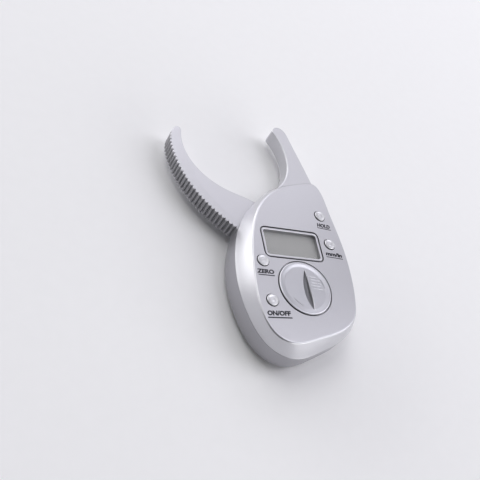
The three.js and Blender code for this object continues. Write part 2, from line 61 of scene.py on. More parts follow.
RIM = [25.56, 25.62, 25.91, 26.44, 27.23, 28.32, 29.75, 31.66, 34.22, 38.03, 43.28, 47.36, 44.92, 41.88, 39.85,
       37.97, 36.11, 34.29, 32.56, 30.92, 29.36, 27.94, 26.68, 25.62, 24.75, 24.07, 23.6, 23.32, 23.23, 23.35,
       23.67, 24.22, 25.01, 26.09, 27.5, 29.32, 31.65, 34.54, 37.81, 41.24, 44.08, 45.37, 45.32, 43.98, 42.0,
       40.46, 39.58, 39.02, 38.59, 38.15, 37.53, 36.45, 34.29, 32.03, 30.24, 28.77, 27.61, 26.73, 26.11, 25.72]
SIDE = [30.56, 30.66, 31.08, 31.82, 32.93, 34.46, 36.49, 39.17, 42.56, 47.36, 51.96, 52.23, 49.66, 47.43, 45.41,
        43.3, 40.83, 38.31, 36.15, 34.51, 33.23, 32.17, 31.27, 30.46, 29.75, 29.21, 28.83, 28.65, 28.66, 28.87,
        29.27, 29.88, 30.69, 31.73, 33.0, 34.53, 36.33, 38.4, 40.8, 43.44, 45.91, 47.67, 48.44, 48.35, 47.07,
        45.29, 43.67, 42.65, 42.08, 41.62, 41.01, 40.23, 39.28, 38.1, 36.55, 34.88, 33.34, 32.11, 31.26, 30.75]
THUMB_EDGE = [(-12.62, 23.48), (-16.08, 28.41), (-20.44, 32.57), (-25.14, 36.35), (-29.75, 40.24), (-34.11, 44.42),
              (-38.12, 48.92), (-41.69, 53.78), (-44.74, 58.99), (-47.22, 64.49), (-49.11, 70.22), (-50.33, 76.12),
              (-50.66, 82.14), (-49.4, 88.02)]
SWING_INNER = [(-44.62, 88.48), (-44.99, 82.62), (-44.03, 76.82), (-41.87, 71.35), (-38.66, 66.42), (-34.61, 62.16),
               (-29.85, 58.7), (-24.56, 56.13), (-18.99, 54.21), (-13.45, 52.23), (-8.27, 49.45), (-3.89, 45.53),
               (-0.42, 40.78), (2.14, 35.49)]
FIXED_OUTER = [(30.42, 45.6), (29.44, 52.34), (27.97, 60.44), (26.26, 68.48), (24.37, 76.49), (22.36, 84.47),
               (20.31, 92.44), (18.27, 100.41)]
FIXED_INNER = [(9.59, 100.35), (11.38, 96.46), (12.72, 92.39), (13.57, 88.19), (13.87, 83.91), (13.58, 79.64),
               (12.63, 75.46), (11.02, 71.49), (8.78, 67.84), (5.94, 64.63), (3.2, 61.8)]
FIXED_ROOT = [(5.5, 59.6), (8.2, 56.6), (11.2, 52.2), (12.6, 48.0), (13.0, 45.6)]


# --------------------------------------------------------------------- curves
def radius(ctrl, a):
    """Closed uniform cubic B-spline of the radius over the full turn."""
    c = np.asarray(ctrl, float)
    n = len(c)
    t = (np.asarray(a, float) / (2 * math.pi)) % 1.0 * n
    i = np.floor(t).astype(int)
    f = t - i
    return ((1 - f) ** 3 * c[(i - 1) % n] + (3 * f ** 3 - 6 * f ** 2 + 4) * c[i % n]
            + (-3 * f ** 3 + 3 * f ** 2 + 3 * f + 1) * c[(i + 1) % n] + f ** 3 * c[(i + 2) % n]) / 6


def smooth(points, n):
    """Natural cubic spline through points, n samples evenly over chord length."""
    p = np.asarray(points, float)
    s = np.concatenate([[0], np.cumsum(np.hypot(*np.diff(p, axis=0).T))])
    m = len(p) - 1
    A = np.zeros((m + 1, m + 1))
    b = np.zeros((m + 1, 2))
    A[0, 0] = A[m, m] = 1
    for i in range(1, m):
        h0, h1 = s[i] - s[i - 1], s[i + 1] - s[i]
        A[i, i - 1], A[i, i], A[i, i + 1] = h0, 2 * (h0 + h1), h1
        b[i] = 6 * ((p[i + 1] - p[i]) / h1 - (p[i] - p[i - 1]) / h0)
    q = np.linalg.solve(A, b)
    t = np.linspace(0, s[-1], n)
    i = np.clip(np.searchsorted(s, t, side="right") - 1, 0, m - 1)
    h = s[i + 1] - s[i]
    u, v = (s[i + 1] - t) / h, (t - s[i]) / h
    return (u[:, None] * p[i] + v[:, None] * p[i + 1]
            + (((u ** 3 - u)[:, None] * q[i]) + ((v ** 3 - v)[:, None] * q[i + 1])) * (h ** 2)[:, None] / 6)


def along(line):
    return np.concatenate([[0], np.cumsum(np.hypot(*np.diff(line, axis=0).T))])


def resample(line, at):
    s = along(line)
    return np.stack([np.interp(at, s, line[:, 0]), np.interp(at, s, line[:, 1])], 1)


def outward(line, closed=True):
    """Unit normals on the right-hand side of travel, which is outside for a line that runs counter-clockwise."""
    if closed:
        d = np.roll(line, -1, 0) - np.roll(line, 1, 0)
    else:
        d = np.gradient(line, axis=0)
    d /= np.maximum(np.hypot(d[:, 0], d[:, 1]), 1e-9)[:, None]
    return np.stack([d[:, 1], -d[:, 0]], 1)


def round_rect(x0, x1, y0, y1, r, per=8):
    out = []
    for cx, cy, a0 in ((x1 - r, y1 - r, 0), (x0 + r, y1 - r, 90), (x0 + r, y0 + r, 180), (x1 - r, y0 + r, 270)):
        for k in range(per + 1):
            a = math.radians(a0 + 90 * k / per)
            out.append((cx + r * math.cos(a), cy + r * math.sin(a)))
    return np.array(out)


# --------------------------------------------------------------------- meshes
def make(name, verts, faces):
    """Object with these millimetre vertices, still unscaled."""
    me = bpy.data.meshes.new(name)
    me.from_pydata([tuple(map(float, v)) for v in verts], [], [tuple(f) for f in faces])
    me.validate()
    ob = bpy.data.objects.new(name, me)
    SCENE.collection.objects.link(ob)
    return ob


def tidy(ob, dist=1e-4):
    bm = bmesh.new()
    bm.from_mesh(ob.data)
    bmesh.ops.remove_doubles(bm, verts=bm.verts, dist=dist)
    bmesh.ops.dissolve_degenerate(bm, edges=bm.edges, dist=dist)
    bmesh.ops.recalc_face_normals(bm, faces=bm.faces)
    bm.to_mesh(ob.data)
    bm.free()
    return ob


def loft(name, rings, cap_low=True, cap_high=True, close=False):
    """Skin over rings of equal length. close joins the last ring back to the first, for a torus-like solid."""
    n = len(rings[0])
    verts = [tuple(p) for r in rings for p in r]
    faces = []
    count = len(rings)
    for i in range(count if close else count - 1):
        k = (i + 1) % count
        for j in range(n):
            m = (j + 1) % n
            faces.append((i * n + j, i * n + m, k * n + m, k * n + j))
    if not close:
        if cap_low:
            faces.append(tuple(reversed(range(n))))
        if cap_high:
            faces.append(tuple((count - 1) * n + j for j in range(n)))
    return tidy(make(name, verts, faces))


def lathe(name, profile, at=(0.0, 0.0), seg=96):
    """Solid of revolution about a vertical axis; the profile runs from the axis up the outside and back."""
    verts, faces = [], []
    rows = []
    for r, z in profile:
        if r < 1e-6:
            rows.append([len(verts)])
            verts.append((at[0], at[1], z))
        else:
            rows.append(list(range(len(verts), len(verts) + seg)))
            for k in range(seg):
                a = 2 * math.pi * k / seg
                verts.append((at[0] + r * math.cos(a), at[1] + r * math.sin(a), z))
    for a, b in zip(rows, rows[1:]):
        for k in range(seg):
            m = (k + 1) % seg
            if len(a) == 1 and len(b) == 1:
                continue
            if len(a) == 1:
                faces.append((a[0], b[m], b[k]))
            elif len(b) == 1:
                faces.append((a[k], a[m], b[0]))
            else:
                faces.append((a[k], a[m], b[m], b[k]))
    return tidy(make(name, verts, faces))


def prism(name, outline, z0, z1):
    o = np.asarray(outline, float)
    return loft(name, [np.c_[o, np.full(len(o), z0)], np.c_[o, np.full(len(o), z1)]])


def cyl(name, x, y, r, z0, z1, seg=48):
    return lathe(name, [(0, z0), (r, z0), (r, z1), (0, z1)], (x, y), seg)


def block(name, x0, x1, y0, y1, z0, z1):
    return prism(name, [(x0, y0), (x1, y0), (x1, y1), (x0, y1)], z0, z1)


def boolean(ob, others, kind="DIFFERENCE"):
    """Exact boolean with each of others in turn, applied; the others are removed."""
    for other in others:
        m = ob.modifiers.new("b", "BOOLEAN")
        m.operation, m.solver, m.object = kind, "EXACT", other
        dg = bpy.context.evaluated_depsgraph_get()
        dg.update()
        new = bpy.data.meshes.new_from_object(ob.evaluated_get(dg))
        old = ob.data
        ob.modifiers.clear()
        ob.data = new
        bpy.data.meshes.remove(old)
        data = other.data
        bpy.data.objects.remove(other)
        bpy.data.meshes.remove(data)
    return ob


def finish_mesh(ob, angle=32.0, weighted=True, sharp=()):
    """Cleans up, marks creases, scales to metres and adds face-weighted normals."""
    bm = bmesh.new()
    bm.from_mesh(ob.data)
    bmesh.ops.remove_doubles(bm, verts=bm.verts, dist=2e-4)
    bmesh.ops.dissolve_degenerate(bm, edges=bm.edges, dist=2e-4)
    lim = math.radians(angle)
    for f in bm.faces:
        f.smooth = True
    for e in bm.edges:
        if len(e.link_faces) == 2:
            e.smooth = e.calc_face_angle(0.0) < lim
        else:
            e.smooth = False
    if len(sharp):
        keys = {(round(float(x), 3), round(float(y), 3)) for x, y in sharp}
        top = [v for v in bm.verts if (round(v.co.x, 3), round(v.co.y, 3)) in keys and v.co.z > 5]
        marks = set(top)
        for e in bm.edges:
            if e.verts[0] in marks and e.verts[1] in marks:
                e.smooth = False
    bm.to_mesh(ob.data)
    bm.free()
    ob.data.transform(Matrix.Scale(MM, 4))
    ob.data.update()
    if weighted:
        w = ob.modifiers.new("normals", "WEIGHTED_NORMAL")
        w.keep_sharp = True
        w.weight = 90
        w.mode = "FACE_AREA"
    return ob


def done(ob, body, material, *nodes, slot=None, angle=32.0, weighted=True, sharp=()):
    finish_mesh(ob, angle, weighted, sharp)
    ob.data.materials.clear()
    ob.data.materials.append(material)
    if nodes:
        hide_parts(*nodes)
    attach(ob, body)
    return ob


# ------------------------------------------------------------------ materials
def _nodes(name):
    m = bpy.data.materials.new(name)
    m.use_nodes = True
    nt = m.node_tree
    return m, nt, nt.nodes["Principled BSDF"], nt.nodes.new("ShaderNodeTexCoord")


def _noise(nt, coord, scale, detail=2.0, rough=0.5):
    n = nt.nodes.new("ShaderNodeTexNoise")
    n.inputs["Scale"].default_value = scale
    n.inputs["Detail"].default_value = detail
    n.inputs["Roughness"].default_value = rough
    nt.links.new(coord.outputs["Object"], n.inputs["Vector"])
    return n


def _ramp(nt, src, lo, hi, p0=0.35, p1=0.65):
    r = nt.nodes.new("ShaderNodeMapRange")
    r.inputs["From Min"].default_value = p0
    r.inputs["From Max"].default_value = p1
    r.inputs["To Min"].default_value = lo
    r.inputs["To Max"].default_value = hi
    r.clamp = True
    nt.links.new(src, r.inputs["Value"])
    return r


def _tint(nt, base, factor_socket):
    """base colour times a grey factor that varies over the surface."""
    mix = nt.nodes.new("ShaderNodeMix")
    mix.data_type = "RGBA"
    mix.blend_type = "MULTIPLY"
    mix.inputs["Factor"].default_value = 1.0
    mix.inputs[6].default_value = (*base, 1)
    comb = nt.nodes.new("ShaderNodeCombineColor")
    for k in range(3):
        nt.links.new(factor_socket, comb.inputs[k])
    nt.links.new(comb.outputs[0], mix.inputs[7])
    return mix


def _times(nt, a, b):
    mul = nt.nodes.new("ShaderNodeMath")
    mul.operation = "MULTIPLY"
    nt.links.new(a, mul.inputs[0])
    nt.links.new(b, mul.inputs[1])
    return mul.outputs[0]


def _inside(nt, co, kind, lim):
    """1 inside a zone of the object, 0 outside, with a 0.2 mm soft edge; sizes in millimetres.
    box: x0 x1 y0 y1 z0 z1; ring: centre x, centre y, smallest radius, z0 z1."""
    sp = nt.nodes.new("ShaderNodeSeparateXYZ")
    nt.links.new(co.outputs["Object"], sp.inputs[0])
    if kind == "box":
        steps = [(sp.outputs[k], lim[2 * k], lim[2 * k + 1]) for k in range(3)]
    else:
        flat = nt.nodes.new("ShaderNodeCombineXYZ")
        nt.links.new(sp.outputs[0], flat.inputs[0])
        nt.links.new(sp.outputs[1], flat.inputs[1])
        far = nt.nodes.new("ShaderNodeVectorMath")
        far.operation = "DISTANCE"
        far.inputs[1].default_value = (lim[0] * MM, lim[1] * MM, 0.0)
        nt.links.new(flat.outputs[0], far.inputs[0])
        steps = [(far.outputs["Value"], lim[2], 1000.0), (sp.outputs[2], lim[3], lim[4])]
    inside = None
    for value, lo, hi in steps:
        for edge, a, b in ((lo, 0.0, 1.0), (hi, 1.0, 0.0)):
            step = _ramp(nt, value, a, b, (edge - 0.1) * MM, (edge + 0.1) * MM).outputs[0]
            inside = step if inside is None else _times(nt, inside, step)
    return inside


def silver_paint(name, base, rough, metallic=0.75, flake=0.018, grain=0.0035, coat=0.35, mottle=0.005, painted_shade_zones=()):
    """Metallic paint: sub-millimetre flakes, faint orange peel, slow mottling and a thin clear coat.
    The zones are where the base colour is darkened as painted shade, see _inside; the last value is the colour
    factor."""
    m, nt, b, co = _nodes(name)
    b.inputs["Metallic"].default_value = metallic
    b.inputs["Coat Weight"].default_value = coat
    b.inputs["Coat Roughness"].default_value = 0.15
    b.inputs["IOR"].default_value = 1.48
    vor = nt.nodes.new("ShaderNodeTexVoronoi")
    vor.inputs["Scale"].default_value = 7500.0
    nt.links.new(co.outputs["Object"], vor.inputs["Vector"])
    sep = nt.nodes.new("ShaderNodeSeparateColor")
    nt.links.new(vor.outputs["Color"], sep.inputs[0])
    flakes = _ramp(nt, sep.outputs[0], 1.0 - flake, 1.0 + flake, 0.0, 1.0)
    slow = _noise(nt, co, 55.0, 3.0)
    slow_r = _ramp(nt, slow.outputs["Fac"], 1.0 - mottle, 1.0 + mottle)
    level = _times(nt, flakes.outputs[0], slow_r.outputs[0])
    # painted shade: each zone multiplies the base colour inside its box or ring
    for zone in painted_shade_zones:
        level = _times(nt, level, _ramp(nt, _inside(nt, co, zone[0], zone[1:-1]), 1.0, zone[-1], 0.0, 1.0).outputs[0])
    tint = _tint(nt, base, level)
    nt.links.new(tint.outputs[2], b.inputs["Base Color"])
    fine = _noise(nt, co, 900.0, 2.0)
    rr = _ramp(nt, fine.outputs["Fac"], rough - 0.02, rough + 0.02)
    nt.links.new(rr.outputs[0], b.inputs["Roughness"])
    peel = _noise(nt, co, 1500.0, 2.0)
    bump = nt.nodes.new("ShaderNodeBump")
    bump.inputs["Strength"].default_value = grain
    bump.inputs["Distance"].default_value = 0.0002
    nt.links.new(peel.outputs["Fac"], bump.inputs["Height"])
    nt.links.new(bump.outputs[0], b.inputs["Normal"])
    return m


def plastic(name, base, rough, grain=0.15, scale=2200.0, spec=0.5, mottle=0.05):
    m, nt, b, co = _nodes(name)
    b.inputs["Specular IOR Level"].default_value = spec
    slow = _noise(nt, co, 180.0, 4.0)
    f = _ramp(nt, slow.outputs["Fac"], 1.0 - mottle, 1.0 + mottle)
    tint = _tint(nt, base, f.outputs[0])
    nt.links.new(tint.outputs[2], b.inputs["Base Color"])
    fine = _noise(nt, co, scale, 2.0)
    rr = _ramp(nt, fine.outputs["Fac"], max(rough - 0.06, 0.02), rough + 0.06)
    nt.links.new(rr.outputs[0], b.inputs["Roughness"])
    bump = nt.nodes.new("ShaderNodeBump")
    bump.inputs["Strength"].default_value = grain
    bump.inputs["Distance"].default_value = 0.0001
    nt.links.new(fine.outputs["Fac"], bump.inputs["Height"])
    nt.links.new(bump.outputs[0], b.inputs["Normal"])
    return m


def metal(name, base, rough, brush=(1.0, 1.0, 1.0), grain=0.12, scale=1200.0):
    m, nt, b, co = _nodes(name)
    b.inputs["Metallic"].default_value = 1.0
    mp = nt.nodes.new("ShaderNodeMapping")
    mp.inputs["Scale"].default_value = brush
    nt.links.new(co.outputs["Object"], mp.inputs["Vector"])
    n = nt.nodes.new("ShaderNodeTexNoise")
    n.inputs["Scale"].default_value = scale
    n.inputs["Detail"].default_value = 3.0
    nt.links.new(mp.outputs[0], n.inputs["Vector"])
    f = _ramp(nt, n.outputs["Fac"], 0.9, 1.06)
    tint = _tint(nt, base, f.outputs[0])
    nt.links.new(tint.outputs[2], b.inputs["Base Color"])
    rr = _ramp(nt, n.outputs["Fac"], max(rough - 0.08, 0.03), rough + 0.08)
    nt.links.new(rr.outputs[0], b.inputs["Roughness"])
    bump = nt.nodes.new("ShaderNodeBump")
    bump.inputs["Strength"].default_value = grain
    bump.inputs["Distance"].default_value = 0.00005
    nt.links.new(n.outputs["Fac"], bump.inputs["Height"])
    nt.links.new(bump.outputs[0], b.inputs["Normal"])
    return m


# painted shade: the display groove and the recess walls are darkened (x0.28, eased back to about x0.76 right at the
# opening)
SILVER = silver_paint("silver_shell", (0.605, 0.603, 0.635), 0.34, coat=0.25,
                      painted_shade_zones=[("box", WIN[0] - 1.75, WIN[1] + 1.75, WIN[2] - 1.75, WIN[3] + 1.75, 16.5, 19.84, 0.28),
                             ("box", WIN[0] - 0.5, WIN[1] + 0.5, WIN[2] - 0.5, WIN[3] + 0.5, 16.5, 19.84, 2.7)])
SILVER_REAR = silver_paint("silver_rear", (0.405, 0.4, 0.43), 0.36, metallic=0.7, coat=0.2)
SILVER_JAW = silver_paint("silver_jaw", (0.6, 0.597, 0.628), 0.38, metallic=0.6, flake=0.015, coat=0.15)
# painted shade: the sides of the ribbed thumb edge are darkened (x0.54), standing in for the dark reflection along
# the grip
SILVER_SWING = silver_paint("silver_swing", (0.645, 0.642, 0.675), 0.38, metallic=0.6, flake=0.015, coat=0.15,
                            painted_shade_zones=[("ring", 11.295, 86.897, 61.1, 3.8, 10.95, 0.54)])
# painted shade inside the coin slot (x0.6) and painted shadow on the lid's outer wall in the gap round it (x0.16)
SILVER_LID = silver_paint("silver_lid", (0.585, 0.587, 0.622), 0.33, coat=0.3,
                          painted_shade_zones=[("box", -5.0, 5.0, -11.0, 12.0, 15.0, 19.85, 0.6), ("ring", BATT[0], BATT[1], 12.4, 15.0, 20.12, 0.16)])
# painted shadow: the side walls of the caps below the top ring are darkened (x0.3)
SILVER_BUTTON = silver_paint("silver_button", (0.66, 0.66, 0.68), 0.33, metallic=0.7, flake=0.012, coat=0.3,
                             painted_shade_zones=[("box", -30.0, 30.0, -20.0, 50.0, 15.0, 20.12, 0.3)])
INK = plastic("label_ink", (0.03, 0.03, 0.04), 0.5, grain=0.1, mottle=0.12)
STEEL = metal("steel", (0.58, 0.585, 0.60), 0.28)
SPRING = metal("spring_steel", (0.36, 0.365, 0.38), 0.34, brush=(1, 1, 6))
COPPER = metal("plated_strip", (0.62, 0.44, 0.22), 0.3)
NYLON = plastic("nylon", (0.78, 0.77, 0.73), 0.45)
RUBBER = plastic("black_rubber", (0.022, 0.022, 0.024), 0.72, grain=0.3)
RESIN = plastic("black_resin", (0.018, 0.018, 0.02), 0.4)
BOARD = plastic("circuit_board", (0.02, 0.13, 0.06), 0.42, grain=0.2, scale=700.0, mottle=0.25)


def lcd_material():
    """Switched-off liquid crystal panel: warm grey with a faint ghost of its backing."""
    m, nt, b, co = _nodes("lcd_panel")
    slow = _noise(nt, co, 60.0, 2.0)
    f = _ramp(nt, slow.outputs["Fac"], 0.97, 1.03)
    tint = _tint(nt, (0.345, 0.339, 0.325), f.outputs[0])
    nt.links.new(tint.outputs[2], b.inputs["Base Color"])
    b.inputs["Specular IOR Level"].default_value = 0.4
    fine = _noise(nt, co, 5000.0, 1.0)
    rr = _ramp(nt, fine.outputs["Fac"], 0.38, 0.5)
    nt.links.new(rr.outputs[0], b.inputs["Roughness"])
    return m


def window_material():
    """Thin clear sheet, almost all see-through, with a weak satin reflection."""
    m, nt, b, co = _nodes("clear_window")
    b.inputs["Base Color"].default_value = (0.80, 0.82, 0.83, 1)
    b.inputs["IOR"].default_value = 1.46
    b.inputs["Specular IOR Level"].default_value = 0.35
    b.inputs["Alpha"].default_value = 0.14
    n = _noise(nt, co, 400.0, 2.0)
    rr = _ramp(nt, n.outputs["Fac"], 0.3, 0.36)
    nt.links.new(rr.outputs[0], b.inputs["Roughness"])
    return m


LCD = lcd_material()
CLEAR = window_material()

# ---------------------------------------------------------------- front cover
RES = 300
ANG = np.arange(RES) / RES * 2 * math.pi
H = FACE_Z - SEAM_HI
RIM_R = radius(RIM, ANG)
SIDE_R = radius(SIDE, ANG)


def rim_round(a):
    return 1.15 + 0.3 * np.cos(a - 1.92)


def dome(u, a=ANG):
    """(outward, down) from the rim of the face plate; u -1..0 is the rounded rim, 0..1 the leaning side."""
    w, r = radius(SIDE, a) - radius(RIM, a), rim_round(a)
    q = np.full_like(a, 1.1)
    for _ in range(14):
        q = np.arctan2(H - r * (1 - np.cos(q)), w - r * np.sin(q))
    if u <= 0:
        return r * np.sin(q * (1 + u)), r * (1 - np.cos(q * (1 + u)))
    x, z = r * np.sin(q), r * (1 - np.cos(q))
    s = math.sin(math.pi * u)
    return x + (w - x) * u + 0.15 * s * np.sin(q), z + (H - z) * u - 0.15 * s * np.cos(q)


def polar(r, z, a=ANG):
    z = np.broadcast_to(z, a.shape)
    return np.c_[CENTRE[0] + r * np.cos(a), CENTRE[1] + r * np.sin(a), z]


def dome_ring(u, inset=0.0, drop=0.0):
    x, z = dome(u)
    return polar(RIM_R + x - inset, FACE_Z - z - drop)


def flare(r, z_top, lip, z_low, steps=5):
    """Lathe profile of a hole cutter whose mouth is rounded by lip at z_top."""
    pts = [(0, z_low), (r, z_low)]
    for k in range(steps + 1):
        q = math.pi / 2 * k / steps
        pts.append((r + lip * (1 - math.cos(q)), z_top - lip * (1 - math.sin(q))))
    return pts + [(r + lip, z_top + 1.5), (0, z_top + 1.5)]


def front_cover():
    lip = 0.06
    rings = [dome_ring(1.0, lip)]
    rings[0][:, 2] = SEAM_HI
    e = dome_ring(1.0)
    e[:, 2] = SEAM_HI + lip
    rings.append(e)
    for u in (0.9, 0.8, 0.68, 0.56, 0.44, 0.32, 0.2, 0.1, 0.0):
        rings.append(dome_ring(u))
    for k in range(1, 10):
        rings.append(dome_ring(-k / 9.0))
    shell = loft("front_cover_skin", rings)
    inner = [polar(SIDE_R - WALL, SEAM_HI - 1.0), polar(SIDE_R - WALL, SEAM_HI)]
    inner += [dome_ring(0.5, WALL, 0.4), dome_ring(0.0, WALL - 0.1, 0.9), dome_ring(-0.5, WALL - 0.2, 1.4), dome_ring(-1.0, 1.0, 2.0)]
    cutters = [loft("c", inner)]
    # battery opening with its ledge
    cutters.append(lathe("c", flare(13.62, FACE_Z, 0.1, 18.4), BATT, 160))
    cutters.append(cyl("c", BATT[0], BATT[1], 11.9, 15.0, 19.0, 96))
    for p in BUTTONS.values():
        cutters.append(lathe("c", flare(3.02, FACE_Z, 0.2, 16.5), p, 72))
    # display opening: groove line, raised frame and the sloped inside of the frame
    x0, x1, y0, y1 = WIN
    win_rings = []
    for grow, z, r in ((0.0, 17.0, 1.25), (0.0, 19.8, 1.25), (0.03, 19.87, 1.28), (0.1, 19.9, 1.35), (1.04, 19.9, 2.1), (1.04, 21.5, 2.1)):
        o = round_rect(x0 - grow, x1 + grow, y0 - grow, y1 + grow, r, 8)
        win_rings.append(np.c_[o, np.full(len(o), z)])
    cutters.append(loft("c", win_rings))
    outer, inner_g = [], []
    for grow, z in ((0.0, 18.95), (0.0, 19.85), (0.03, 19.94), (0.1, 20.0), (0.1, 21.5)):
        a = round_rect(x0 - 1.62 - grow, x1 + 1.62 + grow, y0 - 1.62 - grow, y1 + 1.62 + grow, 2.85 + grow, 10)
        b = round_rect(x0 - 1.0 + grow, x1 + 1.0 - grow, y0 - 1.0 + grow, y1 + 1.0 - grow, 2.25 - grow, 10)
        outer.append(np.c_[a, np.full(len(a), z)])
        inner_g.append(np.c_[b, np.full(len(b), z)])
    cutters.append(loft("c", outer + inner_g[::-1], close=True))
    boolean(shell, cutters)
    return done(shell, "case", SILVER, "front_cover", slot="silver_shell", angle=28.0)


front = front_cover()
front.name = "front_cover_shell"


# ----------------------------------------------------------------- rear cover
def bulge(a):
    return 1.1 * np.exp(-(((a - math.pi * 1.04) / 0.62) ** 2))


def rear_cover():
    bu = bulge(ANG)
    rows = [(3.9, 0.0, 1.0), (3.2, 0.05, 1.0), (2.5, 0.28, 1.0), (1.75, 0.68, 1.0), (1.1, 1.3, 1.0), (0.55, 2.1, 1.0),
            (0.2, 3.1, 1.0), (0.03, 4.2, 1.0), (0.0, 5.6, 1.0), (0.0, 7.4, 0.92), (0.0, 9.2, 0.66), (0.0, 10.6, 0.3),
            (0.0, SEAM_LO - 0.06, 0.01), (0.06, SEAM_LO, 0.0)]
    shell = loft("rear_cover_skin", [polar(SIDE_R - i + bu * k, z) for i, z, k in rows])
    inner = loft("c", [polar(SIDE_R - i + bu * k, z) for i, z, k in
                       ((4.6, 1.8, 1.0), (3.0, 2.7, 1.0), (2.0, 5.2, 1.0), (2.0, 9.4, 0.6), (2.0, SEAM_LO, 0.0), (2.0, 13.0, 0.0))])
    boolean(shell, [inner])
    inside = [cyl("p", p[0], p[1], 3.2, 1.2, 3.1 if i in (3, 4) else SEAM_LO, 40) for i, p in enumerate(CASE_SCREWS)]
    inside.append(cyl("p", PIVOT[0], PIVOT[1], 3.4, 1.2, 9.6, 48))
    inside.append(cyl("p", -19.6, 28.0, 1.7, 1.2, 10.5, 24))
    boolean(shell, inside, "UNION")
    cut = [prism("c", [(3.6, 57), (3.6, 76), (-60, 76), (-60, 65), (-30.3, 39.55), (-25.7, 35.7), (-20.98, 31.91),
                        (-19.5, 33.5), (-14.5, 42.5), (-8, 49.5), (-3, 54)][::-1], JAW_Z0 - 0.4, 14.0),
           prism("c", [(3.0, 60), (3.0, 80), (40, 80), (40, 45.3), (12.7, 45.3), (12.3, 48), (10.9, 52.1), (8, 56.3), (5.3, 59.3)][::-1], JAW_Z0 - 0.3, 14.0)]
    for p in CASE_SCREWS:
        cut.append(lathe("c", [(0, -1), (2.75, -1), (2.75, 0.0), (2.62, 0.03), (2.52, 0.12), (2.5, 0.25), (2.5, 2.2), (1.2, 2.2), (1.2, 13), (0, 13)], p, 48))
    boolean(shell, cut)
    return done(shell, "case", SILVER_REAR, "rear_cover", slot="silver_shell", angle=28.0)


rear = rear_cover()
rear.name = "rear_cover_shell"


# ----------------------------------------------------------------------- jaws
def inset(line, n, r):
    """Outline pulled in by r at each point. Points that would cross another side collapse onto the mitre."""
    r = np.broadcast_to(np.asarray(r, float), (len(line),))
    p = line - n * r[:, None]
    if r.max() < 1e-6:
        return p
    a, b = line, np.roll(line, -1, 0)
    ab = b - a
    t = ((p[:, None, :] - a[None]) * ab[None]).sum(2) / np.maximum((ab ** 2).sum(1), 1e-12)[None]
    foot = a[None] + np.clip(t, 0, 1)[..., None] * ab[None]
    near = np.hypot(*(p[:, None, :] - foot).transpose(2, 0, 1)).min(1)
    bad = near < r * 0.985 - 2e-3
    m = len(line)
    if not bad.any() or bad.all():
        return p
    start = int(np.where(~bad)[0][0])
    i = 0
    while i < m:
        k = (start + i) % m
        if not bad[k]:
            i += 1
            continue
        run = 0
        while bad[(k + run) % m]:
            run += 1
        lo, hi = (k - 1) % m, (k + run) % m
        d0, d1 = np.array([-n[lo][1], n[lo][0]]), np.array([-n[hi][1], n[hi][0]])
        den = d0[0] * d1[1] - d0[1] * d1[0]
        gap = p[hi] - p[lo]
        hit = None
        if abs(den) > 1e-3:
            u = (gap[0] * d1[1] - gap[1] * d1[0]) / den
            hit = p[lo] + d0 * u
            if np.hypot(*(hit - (p[lo] + p[hi]) / 2)) > 1.2 * np.hypot(*gap) + 1e-6:
                hit = None
        if hit is None:
            hit = (p[lo] + p[hi]) / 2
        for q in range(run):
            p[(k + q) % m] = hit
        i += run
    return p


def slab(name, line, r_front, r_back, z0=JAW_Z0, z1=JAW_Z1, drop=None, crease=None, steps=5):
    """Flat arm from a counter-clockwise outline. r_front and r_back round its edges, a value per point.
    drop lowers the front edge at each point; crease is a line on the front face that stays at z1."""
    line = np.asarray(line, float)
    n = outward(line)
    rf = np.broadcast_to(np.asarray(r_front, float), (len(line),))
    rb = np.broadcast_to(np.asarray(r_back, float), (len(line),))
    d = np.zeros(len(line)) if drop is None else np.asarray(drop, float)
    rings = []
    for k in range(steps + 1):
        q = math.pi / 2 * k / steps
        rings.append(np.c_[inset(line, n, rb * (1 - math.sin(q))), z0 + rb * (1 - math.cos(q))])
    for k in range(steps + 1):
        q = math.pi / 2 * k / steps
        rings.append(np.c_[inset(line, n, rf * (1 - math.cos(q))), z1 - d - rf * (1 - math.sin(q))])
    m = len(line)
    verts = [tuple(p) for r in rings for p in r]
    faces = []
    for i in range(len(rings) - 1):
        for j in range(m):
            k = (j + 1) % m
            faces.append((i * m + j, i * m + k, (i + 1) * m + k, (i + 1) * m + j))
    for at, flip in ((0, True), ((len(rings) - 1) * m, False)):
        extra = [] if flip or crease is None else [Vector((float(c[0]), float(c[1]))) for c in crease]
        pts = [Vector(verts[at + j][:2]) for j in range(m)] + extra
        edges = [(m + j, m + j + 1) for j in range(len(extra) - 1)]
        vo, _, fo, orig, _, _ = delaunay_2d_cdt(pts, edges, [list(range(m))], 1, 1e-5)
        remap = []
        for v, src in zip(vo, orig):
            ring_src = [q for q in src if q < m]
            if ring_src:
                remap.append(at + ring_src[0])
            else:
                remap.append(len(verts))
                verts.append((v.x, v.y, z0 if flip else z1))
        for f in fo:
            ids = [remap[k] for k in f]
            faces.append(tuple(reversed(ids)) if flip else tuple(ids))
    return tidy(make(name, verts, faces), 1e-4)


